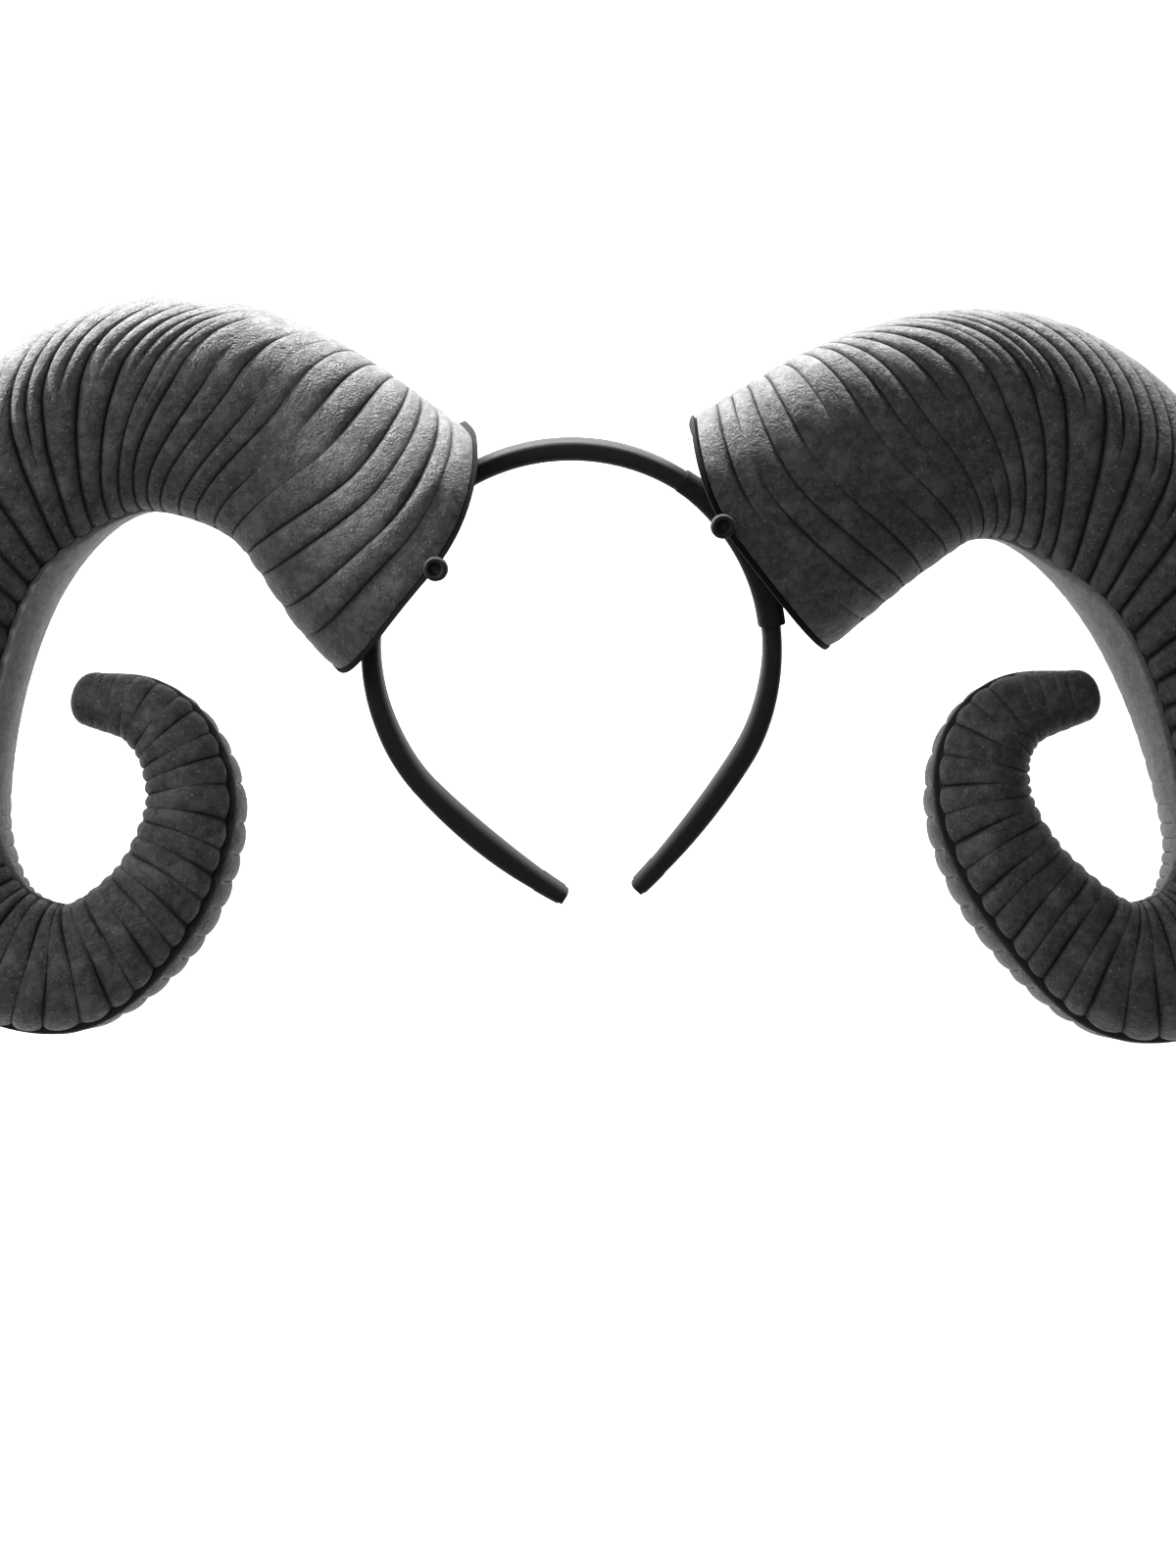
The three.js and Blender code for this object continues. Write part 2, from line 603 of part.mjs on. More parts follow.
function addHorn(spec) {
  const horn = new Horn(spec);
  addPiece(`horn_${spec.name}_front_shell`, halfShell(horn, 1), foam);
  addPiece(`horn_${spec.name}_back_shell`, halfShell(horn, -1), foamBack);
  addPiece(`base_pad_${spec.name}`, padSolid(horn), padFoam);
  const sleeve = pipeSolid(
    sleeveRings(spec.side, FIT_GAP + SLEEVE_WALL), sleeveRings(spec.side, FIT_GAP));
  addPiece(`band_sleeve_${spec.name}`, sleeve, padFoam);
  const loop = pinLoop(horn);
  const mesh = new THREE.Mesh(loop.geometry, ribbon);
  mesh.name = `pin_loop_${spec.name}`;
  mesh.position.copy(loop.at);
  mesh.quaternion.copy(loop.turn);
  object.add(mesh);
}

addBand();
addEndWrap("end_wrap_left", LEFT_ARM);
addEndWrap("end_wrap_right", RIGHT_ARM);
addHorn(LEFT_HORN);
addHorn(RIGHT_HORN);

// The middle of the whole object's box comes to the origin, with its lowest point at zero
const box = new THREE.Box3().setFromObject(object, true);
const middle = box.getCenter(new THREE.Vector3());
object.position.set(-middle.x, -middle.y, -box.min.z);

export default object;
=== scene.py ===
# %% [markdown]
# # Ram horns headband
# Two hollow moulded foam horns sit on a slim cloth-covered hair band. The solids made in CAD
# give the sizes and the places. This script puts finer pieces in their place, with the ribs,
# the seams and the rounded edges, and then sets a camera and soft lights.

# %% Load the frame
import bpy
import bmesh
import math
import numpy as np
from mathutils import Matrix, Vector


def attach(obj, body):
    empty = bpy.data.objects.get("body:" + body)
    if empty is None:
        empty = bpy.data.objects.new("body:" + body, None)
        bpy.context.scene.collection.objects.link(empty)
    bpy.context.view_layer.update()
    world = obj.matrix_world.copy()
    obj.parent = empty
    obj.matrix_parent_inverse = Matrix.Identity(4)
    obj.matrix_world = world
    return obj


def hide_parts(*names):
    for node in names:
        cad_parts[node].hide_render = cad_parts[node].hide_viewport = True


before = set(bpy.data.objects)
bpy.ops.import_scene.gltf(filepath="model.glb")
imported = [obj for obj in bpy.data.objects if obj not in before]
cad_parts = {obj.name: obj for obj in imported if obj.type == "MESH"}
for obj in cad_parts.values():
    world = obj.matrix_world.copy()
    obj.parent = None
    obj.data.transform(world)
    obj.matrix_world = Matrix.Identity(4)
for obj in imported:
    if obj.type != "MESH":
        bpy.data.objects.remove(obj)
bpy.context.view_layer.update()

MM = 0.001

# %% [markdown]
# ## One helper for bent sheets
# Nearly every piece here is a sheet that is bent round: half a horn's skin, a band, a pipe,
# a pad. A flat grid can be shaped row by row, and where its edges come together, the doubled
# vertices are merged, which closes a tube or a tip without any loose ends.

# %% Bent sheets
MERGE = 0.002                     # mm; vertices nearer than this are one


def bent_sheet(points):
    """A grid of rows and columns, moved to points (an array of places in mm)."""
    rows, columns = points.shape[:2]
    mesh = bmesh.new()
    bmesh.ops.create_grid(mesh, x_segments=columns - 1, y_segments=rows - 1, size=0.5)
    for vertex in mesh.verts:
        row = round((vertex.co.y + 0.5) * (rows - 1))
        column = round((vertex.co.x + 0.5) * (columns - 1))
        vertex.co = points[row, column] * MM
    return mesh


def close_up(mesh):
    """Merge the vertices that meet, and turn the faces outward."""
    bmesh.ops.remove_doubles(mesh, verts=mesh.verts, dist=MERGE * MM)
    bmesh.ops.dissolve_degenerate(mesh, edges=mesh.edges, dist=MERGE / 4 * MM)
    bmesh.ops.recalc_face_normals(mesh, faces=mesh.faces)
    if mesh.calc_volume(signed=True) < 0:
        bmesh.ops.reverse_faces(mesh, faces=mesh.faces)


def finish_piece(mesh, name, material, node, crease=50):
    """Put the mesh in the scene in place of a CAD node, smooth but for its sharp edges."""
    data = bpy.data.meshes.new(name)
    open_edges = sum(1 for edge in mesh.edges if not edge.is_manifold)
    mesh.to_mesh(data)
    mesh.free()
    data.shade_smooth()
    data.set_sharp_from_angle(angle=math.radians(crease))
    data.materials.append(material)
    piece = bpy.data.objects.new(name, data)
    bpy.context.collection.objects.link(piece)
    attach(piece, "root")
    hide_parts(node)
    triangles = sum(len(face.vertices) - 2 for face in data.polygons)
    print(f"{name}: {triangles} triangles, {open_edges} open edges")
    return piece


def smooth_steps(value, low, high):
    """0 below low, 1 above high, eased between them."""
    t = np.clip((value - low) / (high - low), 0, 1)
    return t * t * (3 - 2 * t)

# %% [markdown]
# ## The hair band's line
# A hair band is an arc a little taller than it is round, and an arm at each side goes on
# from it and bends inward to its tip, which grips the head. It could be drawn as a curve by
# hand, but the sleeves, the wraps and the band itself have to agree. So its place comes from
# a few functions that they all read. Its plane is pitched: the crown stands higher than the
# tips.

# %% Band sizes in mm
ORIGIN = np.array([-0.927, -32.813, 0.023])  # from the drawing's zero to the frame's
BAND_RADIUS, BAND_STRETCH = 58.9, 1.02
BAND_THICK, ARM_THICK, TIP_THICK = 4.8, 5.8, 4.2
BAND_WIDE, TIP_WIDE = 10.4, 8.6
ARM_SWELL = 0.5                             # the arms swell over this share of BAND_RADIUS
BAND_PITCH = math.radians(13.6)
BAND_CENTRE_X, BAND_CENTRE_Y = -4.8, 38.9
ARM_SWEEP = {-1: 43.5, 1: 31.5}             # degrees, left arm and right arm
ARM_BEND = {-1: 16, 1: 13}
ARM_LENGTH = {-1: 52.5, 1: 51}
WRAP_WALL, WRAP_LENGTH, WRAP_BACK, WRAP_HUG = 0.6, 8, 1.2, 0.05
WRAP_CLOTH = 0.3                            # the fold as it shows, pressed flat
SLEEVE_WALL, SLEEVE_FROM, SLEEVE_TO = 1.2, 8, 57
FIT_GAP = 0.3

# %% The cloth cover in mm
COVER = 0.9                                 # the padded cover adds this to the bar's thickness
COVER_CROWN = 0.8                           # more at the crown
COVER_ARM = {-1: 1.4, 1: 0.6}               # more in the middle of an arm
COVER_TIP, COVER_TIP_POWER = 0.7, 4         # less at the tips, and how late that begins
COVER_INWARD, CROWN_INWARD = 0.4, 0.7       # how far its middle lies inside the bar's
CROWN_NARROW = 4                            # the higher, the nearer the crown keeps to the top
BAND_SIDES = 28                             # steps round a section
FACE_ROUNDNESS, EDGE_ROUNDNESS = 0.5, 0.6   # below 1 a section is fuller than an ellipse


def band_point(angle, inward=0):
    turn = np.radians(angle)
    radius = BAND_RADIUS - inward
    return np.stack([radius * np.cos(turn), radius * BAND_STRETCH * np.sin(turn)], -1)


def crown_share(angle):
    """1 at the top of the crown, 0 at its sides."""
    return np.maximum(0, np.sin(np.radians(angle))) ** CROWN_NARROW


def cover_size(angle):
    """The cover's thickness, and how far its middle lies inside the bar's line."""
    crown = crown_share(angle)
    return BAND_THICK + COVER + COVER_CROWN * crown, COVER_INWARD + CROWN_INWARD * crown


def turned(way, angle):
    cos, sin = np.cos(angle), np.sin(angle)
    return np.stack([way[0] * cos - way[1] * sin, way[0] * sin + way[1] * cos], -1)


def arm_station(side, share):
    """Place and direction at shares of an arm's length. It goes on bending to its tip."""
    sweep = math.radians(ARM_SWEEP[side])
    start = band_point(-ARM_SWEEP[1] if side > 0 else 180 + ARM_SWEEP[-1])
    way = np.array([-side * math.sin(sweep), -math.cos(sweep) * BAND_STRETCH])
    way /= np.linalg.norm(way)
    turn = -side * math.radians(ARM_BEND[side]) * share
    chord = ARM_LENGTH[side] * share * np.sinc(turn / 2 / np.pi)
    return start + turned(way, turn / 2) * chord[..., None], turned(way, turn)


left_tip = arm_station(-1, np.ones(1))[0][0]
BAND_CENTRE_Z = (-left_tip[1] * math.sin(BAND_PITCH)
                 + (TIP_WIDE / 2 + FIT_GAP + WRAP_WALL) * math.cos(BAND_PITCH))


def on_band(flat, height):
    """From the band's own plane to the frame, in mm."""
    x, y = flat[..., 0], flat[..., 1]
    return ORIGIN + np.stack([
        BAND_CENTRE_X + x,
        BAND_CENTRE_Y + y * math.cos(BAND_PITCH) - height * math.sin(BAND_PITCH),
        BAND_CENTRE_Z + y * math.sin(BAND_PITCH) + height * math.cos(BAND_PITCH)], -1)


def power(value, exponent):
    return np.sign(value) * np.abs(value) ** exponent


def band_rings(at, along, thick, wide, sides=BAND_SIDES):
    """Rounded oblong rings round points of the band's line."""
    along = along / np.linalg.norm(along, axis=-1, keepdims=True)
    outward = np.stack([along[..., 1], -along[..., 0]], -1)
    turn = 2 * np.pi * (np.arange(sides + 1) + 0.5) / sides
    n = np.asarray(thick)[..., None] / 2 * power(np.cos(turn), FACE_ROUNDNESS)
    w = np.asarray(wide)[..., None] / 2 * power(np.sin(turn), EDGE_ROUNDNESS)
    flat = at[..., None, :] + outward[..., None, :] * n[..., None]
    return on_band(flat, w)


print("band centre height:", round(BAND_CENTRE_Z, 2), "mm")

# %% [markdown]
# ## The horn's line, sections and ribs
# A horn is a tapering tube on a spiral. It could be sculpted, but then the two horns
# wouldn't match their solids. So a short table gives the spiral's stations, a second one the
# sections, and smooth curves through the rows give everything between them. A rib doesn't
# run straight round the tube. Near the base it follows the rim, and farther on its inner end
# runs ahead toward the tip while its outer end lags behind.

# %% Horn sizes in mm
BASE_WIDTH, HORN_REACH, HORN_DROP = 77, 136, 125
SWEEP_BACK = math.radians(4)
SHELL_WALL, SEAM_GAP, TIP_DOME = 3, 0.45, 6.3
RIB_PITCH = 7.3
RIB_SWEEP, RIB_FAN = 24, 35       # how far a rib's inner end runs ahead, its outer end lags
SWEEP_FROM, SWEEP_TO, FAN_FROM, FAN_TO = 172, 100, 120, 10   # degrees where they do
RIM_FADE = 60                     # length of horn over which the ribs stop following the rim
PAD_THICK, PAD_GAP = 3, 0.5
ROUNDNESS = 0.8
LINE_STEPS = 600
CUP_STEPS, CUP_SIDES, CUP_FACETS = 7, 10, 6   # the CAD's steps, which set how deep a cup is
LEFT_SPIRAL = [   # out, up, wide: shares of HORN_REACH, HORN_DROP and BASE_WIDTH
    (0.0, 0.0, 1.0), (0.199, 0.208, 0.85), (0.396, 0.308, 0.817), (0.588, 0.316, 0.787),
    (0.766, 0.207, 0.755), (0.913, -0.018, 0.71), (1.0, -0.335, 0.658), (1.009, -0.674, 0.603),
    (0.899, -0.909, 0.535), (0.7, -0.976, 0.487), (0.521, -0.838, 0.438), (0.44, -0.635, 0.39),
    (0.465, -0.481, 0.34), (0.545, -0.386, 0.288), (0.659, -0.354, 0.236)]
RIGHT_SPIRAL = [
    (0.0, 0.0, 1.0), (0.204, 0.151, 0.935), (0.396, 0.242, 0.858), (0.581, 0.23, 0.83),
    (0.753, 0.107, 0.8), (0.903, -0.114, 0.757), (1.011, -0.411, 0.708), (1.055, -0.734, 0.651),
    (0.963, -0.957, 0.58), (0.77, -1.008, 0.525), (0.579, -0.851, 0.468), (0.478, -0.667, 0.419),
    (0.475, -0.514, 0.378), (0.546, -0.414, 0.328), (0.683, -0.374, 0.25)]
SECTIONS = {   # one value for each station of a spiral
    "deep": (0.883, 0.88, 0.88, 0.87, 0.86, 0.84, 0.83, 0.83, 0.86, 0.9, 0.93, 0.95, 0.97, 1, 1),
    "crest": (0.44, 0.44, 0.42, 0.36, 0.3, 0.24, 0.2, 0.16, 0.12, 0.08, 0.05, 0.03, 0, 0, 0),
    "seam_out": (0, 0, 0, 0, 0, 0, 0, 0, 5, 17, 36, 34, 18, 6, 0),
    "seam_in": (0, 0, 0, 2, 10, 27, 27, 20, 8, 0, 0, 0, 0, 0, 0),
    "pitch": (1, 1.2, 1.2, 1.3, 1.2, 1.12, 1.05, 1, 0.95, 0.92, 0.9, 0.85, 0.75, 0.65, 0.55),
    "sweep": (0, 0.5, 0.72, 0.92, 1, 0.55, 0.05, 0, 0, 0, 0, 0, 0, 0, 0),
    "fan": (0, 0, 0.25, 0.65, 1, 0.85, 0.3, 0.1, 0.08, 0.08, 0.12, 0.08, 0, 0, 0),
    "relief": (1.5, 1.5, 1.5, 1.6, 1.8, 1.9, 2.0, 2.0, 2.0, 2.0, 1.9, 1.7, 1.4, 1.0, 0.8),
    "round": (0.7, 0.7, 0.7, 0.8, 0.9, 0.95, 0.95, 1, 1, 1, 1, 1, 1, 1, 1)}
HORNS = {
    -1: dict(name="left", base=(-54, 68.8), spiral=LEFT_SPIRAL,
             saddle=9, lean=35, turn=9, corner=15,     # mm that the rim departs from flat
             loop=108,                                 # degrees round the rim to the pin loop
             fade=(70, 120),                           # degrees where grooves fade near the base
             crown_smooth=0.95,                        # share that the crown's side is smoothed
             crown_run=(30, 205),                      # mm along the horn where that is
             crown_turns=(50, 108),                    # degrees round the horn where it ends
             slim=1.0,                                 # mm that the tip is slimmer
             dark=0.9),                                # how dark the painted shade on the back of the low curl is
    1: dict(name="right", base=(49.4, 72.2), spiral=RIGHT_SPIRAL,
            saddle=2.2, lean=19, turn=1, corner=11,
            loop=103,
            fade=(80, 140),
            crown_smooth=0.85,
            crown_run=(45, 175),
            crown_turns=(30, 82),
            slim=1.7,
            dark=0.75)}
HALF_DEPTH = BASE_WIDTH * SECTIONS["deep"][0] / 2


def through_rows(rows, t):
    """Smooth values between evenly spaced rows, for shares t from 0 to 1."""
    rows = np.asarray(rows, float)
    spans = len(rows) - 1
    place = np.clip(np.asarray(t, float) * spans, 0, spans)
    i = np.minimum(place.astype(int), spans - 1)
    w = (place - i)[..., None]
    carried = np.vstack([2 * rows[0] - rows[1], rows, 2 * rows[-1] - rows[-2]])
    a, b, c, d = (carried[i + k] for k in range(4))
    m, n = (c - a) / 2, (d - b) / 2
    return b + m * w + (3 * (c - b) - 2 * m - n) * w ** 2 + (2 * (b - c) + m + n) * w ** 3

# %% [markdown]
# ## A horn as an object in code
# The horn's formulas are kept together, so that the skin, the lining, the pad and the pin
# loop all read the same surface. A place on it has two numbers: the distance s along the
# horn, and the angle phi round it, 0 on the outer side and 90 degrees at the front.

# %% The horn's formulas
class Horn:
    def __init__(self, side):
        self.side = side
        self.form = HORNS[side]
        self.base = np.array([*self.form["base"], HALF_DEPTH])
        t = np.linspace(0, 1, LINE_STEPS + 1)
        spiral = through_rows(self.form["spiral"], t)
        self.line = spiral[:, :2] * [HORN_REACH, HORN_DROP]
        self.reach = np.append(0, np.cumsum(np.hypot(*np.diff(self.line, axis=0).T)))
        self.length = self.reach[-1]
        way = np.gradient(self.line, axis=0)
        self.way = way / np.linalg.norm(way, axis=1, keepdims=True)
        self.table = {name: through_rows(np.array(values)[:, None], t)[:, 0]
                      for name, values in SECTIONS.items()}
        self.table["half_wide"] = spiral[:, 2] * BASE_WIDTH / 2
        self.cup = self.cup_depth()

    def read(self, name, s):
        return np.interp(np.clip(s, 0, self.length), self.reach, self.table[name])

    def skin(self, s, phi, inset=0, drop=0):
        """Across toward the outer side, and to the front, in the horn's own section."""
        past = np.clip((s - self.length) / (TIP_DOME - inset), 0, 1)
        dome = np.sqrt(1 - past ** 2)
        wide = (self.read("half_wide", s) - inset) * dome
        deep = (self.read("half_wide", s) * self.read("deep", s) - inset) * dome
        across = (wide - drop * dome) * (np.cos(phi) + self.read("crest", s) * np.sin(phi) ** 2)
        return across, (deep - drop * dome) * power(np.sin(phi), ROUNDNESS)

    def place(self, s, across, front):
        """From the horn's own section to the frame, in mm."""
        inside = np.clip(s, 0, self.length)
        x, y = (np.interp(inside, self.reach, self.line[:, k]) for k in range(2))
        wx, wy = (np.interp(inside, self.reach, self.way[:, k]) for k in range(2))
        x = x + wx * (s - inside) - wy * across
        y = y + wy * (s - inside) + wx * across
        lean = SWEEP_BACK
        return ORIGIN + np.stack([
            self.base[0] + self.side * (x * math.cos(lean) + front * math.sin(lean)),
            self.base[1] + y,
            self.base[2] - x * math.sin(lean) + front * math.cos(lean)], -1)

    def rim_form(self, across, front):
        a = across / (BASE_WIDTH / 2)
        b = (front + HALF_DEPTH) / (2 * HALF_DEPTH)
        form = self.form
        corner = form["corner"] * np.maximum(0, a) ** 2 * b ** 2
        return form["turn"] * a - form["saddle"] * a ** 2 - form["lean"] * b ** 2 + corner

    def cup_depth(self):
        """The cup is as deep as the pad needs to clear the sleeve on the band."""
        grow = FIT_GAP + SLEEVE_WALL
        angle = np.linspace(SLEEVE_FROM, SLEEVE_TO, CUP_STEPS)
        angle = angle if self.side > 0 else 180 - angle
        points = sleeve_rings(angle, grow, CUP_SIDES) - ORIGIN - self.base
        x, y, z = np.moveaxis(points, -1, 0)
        out = self.side * x * math.cos(SWEEP_BACK) - z * math.sin(SWEEP_BACK)
        front = self.side * x * math.sin(SWEEP_BACK) + z * math.cos(SWEEP_BACK)
        wx, wy = self.way[0]
        need = out * wx + y * wy - self.rim_form(y * wx - out * wy, front)
        sag = (self.form["saddle"] + self.form["lean"] / 4) / CUP_FACETS ** 2
        return need.max() + sag + FIT_GAP + PAD_GAP + PAD_THICK

    def rim(self, across, front):
        return self.cup + self.rim_form(across, front)

    def rib_line(self, s, phi):
        """Where the rib line that has distance s at the front lies at angle phi."""
        follow = 1 - smooth_steps(s, 0, RIM_FADE)
        turn = np.degrees(np.arccos(np.cos(phi)))
        swept = RIB_SWEEP * self.read("sweep", s) * (1 - smooth_steps(turn, SWEEP_TO, SWEEP_FROM))
        fanned = RIB_FAN * self.read("fan", s) * (1 - smooth_steps(turn, FAN_TO, FAN_FROM))
        line = s + follow * self.rim(*self.skin(0 * s, phi)) - swept - fanned
        return np.where(s < self.length, line, s)


def sleeve_rings(angle, grow, sides):
    turn = np.radians(angle)
    along = np.stack([-np.sin(turn), np.cos(turn) * BAND_STRETCH], -1)
    size = np.ones_like(turn)
    return band_rings(band_point(angle), along, size * (BAND_THICK + 2 * grow),
                      size * (BAND_WIDE + 2 * grow), sides)


horns = {side: Horn(side) for side in HORNS}
print("horn lengths:", {h.form["name"]: round(h.length) for h in horns.values()},
      "cups:", {h.form["name"]: round(h.cup, 2) for h in horns.values()})

# %% [markdown]
# ## Materials
# All pieces are black, but each black is a different stuff. The horns are closed-cell foam
# with a fine leathery grain that takes a soft sheen where light grazes it. A painted image
# could give that, but it would need a map of the skin. Noise on the object's own coordinates
# needs none: fine ones give the grain and the painted glints, slower ones the mottling and
# patches of painted highlight. The grooves and the seam's channel are darkened with painted
# shade. The back halves are a lighter grey, which is painted light for where they show inside
# the loops, and painted shade darkens the rest of them nearly to black.

# %% Material helpers
def new_material(name, colour, roughness):
    material = bpy.data.materials.new(name)
    material.use_nodes = True
    shader = material.node_tree.nodes["Principled BSDF"]
    shader.inputs["Base Color"].default_value = (*colour, 1)
    shader.inputs["Roughness"].default_value = roughness
    return material, material.node_tree, shader


def noise(tree, size, detail=2.0, rough=0.5):
    """Noise with grains of this size in mm, on the object's own coordinates."""
    place = tree.nodes.new("ShaderNodeTexCoord")
    grain = tree.nodes.new("ShaderNodeTexNoise")
    grain.inputs["Scale"].default_value = 1 / (size * MM)
    grain.inputs["Detail"].default_value = detail
    grain.inputs["Roughness"].default_value = rough
    tree.links.new(place.outputs["Object"], grain.inputs["Vector"])
    return grain.outputs["Fac"]


def ranged(tree, value, low, high, out_low, out_high):
    step = tree.nodes.new("ShaderNodeMapRange")
    for name, number in (("From Min", low), ("From Max", high),
                         ("To Min", out_low), ("To Max", out_high)):
        step.inputs[name].default_value = number
    tree.links.new(value, step.inputs["Value"])
    return step.outputs["Result"]


def mixed(tree, factor, first, second):
    """A blend of two colours, each a tuple or a socket."""
    mix = tree.nodes.new("ShaderNodeMix")
    mix.data_type = "RGBA"
    tree.links.new(factor, mix.inputs["Factor"])
    for socket, colour in ((mix.inputs[6], first), (mix.inputs[7], second)):
        if isinstance(colour, tuple):
            socket.default_value = (*colour, 1)
        else:
            tree.links.new(colour, socket)
    return mix.outputs[2]


def bumped(tree, shader, layers):
    """Stack bumps: (height socket, depth in mm) from coarse to fine."""
    normal = None
    for height, depth in layers:
        bump = tree.nodes.new("ShaderNodeBump")
        bump.inputs["Strength"].default_value = 1
        bump.inputs["Distance"].default_value = depth * MM
        tree.links.new(height, bump.inputs["Height"])
        if normal:
            tree.links.new(normal, bump.inputs["Normal"])
        normal = bump.outputs["Normal"]
    tree.links.new(normal, shader.inputs["Normal"])


# %% Foam
MOTTLE, HIGHLIGHT_PATCH, GLINT, GLOSS_SPOT, DENT, LEATHER = 2.4, 9, 0.8, 1.1, 2.6, 0.7   # sizes, mm
GRAIN_DEPTH = 0.5                 # mm


def foam(name, dark, light, painted_highlight, groove, sheen):
    """Mottled foam with painted highlights and glints, and painted shade in the grooves."""
    material, tree, shader = new_material(name, light, 0.5)
    mottle = ranged(tree, noise(tree, MOTTLE, 4, 0.65), 0.38, 0.62, 0, 1)
    colour = mixed(tree, mottle, dark, light)
    # patches of painted highlight: lighter blotches where the foam would catch the light
    painted_highlight_patches = ranged(tree, noise(tree, HIGHLIGHT_PATCH, 4, 0.6), 0.5, 0.68, 0, 0.3)
    colour = mixed(tree, painted_highlight_patches, colour, painted_highlight)
    # fine painted glints: light specks in the colour that stand in for sparkle
    painted_glints = ranged(tree, noise(tree, GLINT, 2), 0.62, 0.8, 0, 1)
    colour = mixed(tree, painted_glints, colour, painted_highlight)
    # painted shade from the groove attribute: grooves, the seam's line and the back's unlit parts
    depth = tree.nodes.new("ShaderNodeAttribute")
    depth.attribute_name = "groove"
    colour = mixed(tree, depth.outputs["Fac"], colour, groove)
    tree.links.new(colour, shader.inputs["Base Color"])
    tree.links.new(ranged(tree, noise(tree, GLOSS_SPOT), 0.3, 0.7, 0.5, 0.7),
                   shader.inputs["Roughness"])
    shader.inputs["Specular IOR Level"].default_value = 0.22
    shader.inputs["Sheen Weight"].default_value = sheen
    shader.inputs["Sheen Roughness"].default_value = 0.35
    bumped(tree, shader, [(noise(tree, DENT, 3), GRAIN_DEPTH),
                          (noise(tree, LEATHER, 3, 0.65), GRAIN_DEPTH)])
    return material


horn_foam = foam("horn_foam", dark=(0.015, 0.015, 0.0155), light=(0.036, 0.035, 0.036),
                 painted_highlight=(0.12, 0.118, 0.12), groove=(0.002, 0.002, 0.002), sheen=0.06)
# The back's lighter grey is painted light for the loops' insides; its groove colour is painted
# shade.
back_foam_painted_light = foam("horn_foam_back", dark=(0.11, 0.11, 0.112), light=(0.15, 0.15, 0.152),
                 painted_highlight=(0.18, 0.18, 0.182), groove=(0.015, 0.015, 0.015), sheen=0.15)

# %% [markdown]
# The band's satin, the felt and the ribbon hardly shine, and differ in the size and depth of
# their grain. One function makes them all, with the grain's size and depth in mm. A woven
# pattern would be finer than a pixel here, so noise stands for it.

# %% Cloth, felt and ribbon
def cloth(name, colour, roughness, size, depth, sheen):
    """Dull cloth with a grain, and slow patches where it is a little darker."""
    material, tree, shader = new_material(name, colour, roughness)
    dim = tuple(0.7 * c for c in colour)
    patches = ranged(tree, noise(tree, size * 4, 3), 0.35, 0.65, 0, 1)
    tree.links.new(mixed(tree, patches, dim, colour), shader.inputs["Base Color"])
    shader.inputs["Specular IOR Level"].default_value = 0.12
    shader.inputs["Sheen Weight"].default_value = sheen
    shader.inputs["Sheen Roughness"].default_value = 0.35
    bumped(tree, shader, [(noise(tree, size, 2), depth)])
    return material


band_cloth = cloth("band_cloth", (0.009, 0.009, 0.0095), roughness=0.6,
                   size=0.35, depth=0.05, sheen=0.02)
pad_felt = cloth("pad_foam", (0.003, 0.003, 0.003), roughness=0.9,
                 size=0.5, depth=0.15, sheen=0.0)
sleeve_felt = cloth("sleeve_felt", (0.008, 0.008, 0.008), roughness=0.9,
                    size=0.5, depth=0.15, sheen=0.03)
ribbon_cloth = cloth("ribbon", (0.008, 0.008, 0.008), roughness=0.6,
                     size=0.25, depth=0.05, sheen=0.02)
print("materials:", [material.name for material in bpy.data.materials])

# %% [markdown]
# ## The ribbed skins
# Each horn is moulded in two halves that are glued along a seam. A rib is a low rounded
# ridge between two grooves, and its end at the seam is rounded like a fingertip. On the loop
# a short groove splits each rib's front in two. Bump in the material would give the creases
# but leave the outline smooth, so they are shaped in the mesh. The skin is a bent sheet
# whose rows follow the ribs. The rows lie close together near each groove, and the columns
# near each seam, so that the creases stay crisp.

# %% Rows and columns of a skin
# shares of a rib's width, close together near its grooves, and of a half horn's girth
RIB_STEPS = (0, 0.03, 0.07, 0.13, 0.23, 0.37, 0.5, 0.63, 0.77, 0.87, 0.93, 0.97)
SPLIT_STEPS = (0, 0.03, 0.07, 0.13, 0.21, 0.3, 0.38, 0.44, 0.475,
               0.5, 0.525, 0.56, 0.62, 0.7, 0.79, 0.87, 0.93, 0.97)
SEAM_STEPS = (0, 0.003, 0.007, 0.011, 0.016, 0.022, 0.029, 0.037, 0.046, 0.056, 0.067, 0.08,
              0.095)
MIDDLE_COLUMNS = 36
SPLIT_FROM, SPLIT_TO = 95, 265    # mm between which a short groove splits each rib's front
TIP_TURNS = (8, 20, 32, 44, 56, 67, 77, 84, 90)   # degrees over the dome of the tip
UNEVEN = 0.08                     # ribs are up to this share wider or narrower than drawn


def groove_lines(horn, draw):
    """Distances of the grooves along the horn, from the rim on."""
    s, lines, half = 0.0, [], True
    while s < horn.length:
        s += horn.read("pitch", s) * RIB_PITCH / 2
        if half and s < horn.length:
            lines.append(s)
        half = not half
    lines = np.array(lines[1:])
    spacing = np.gradient(lines)
    return lines + spacing * draw.uniform(-UNEVEN, UNEVEN, len(lines))


def skin_rows(horn, grooves, half):
    """For each row: its distance, its share of its rib's width, and its rib's number."""
    edges = np.concatenate([[-grooves[0]], grooves, [horn.length + 1e-6]])
    rows = []
    for rib, (low, high) in enumerate(zip(edges[:-1], edges[1:])):
        split = half > 0 and SPLIT_FROM < low < SPLIT_TO
        for share in SPLIT_STEPS if split else RIB_STEPS:
            s = low + (high - low) * share
            if s >= 0:
                rows.append((s, share, rib))
    rows += [(horn.length + TIP_DOME * math.sin(math.radians(turn)), 0.5, len(edges) - 2)
             for turn in TIP_TURNS]
    return np.array(rows)


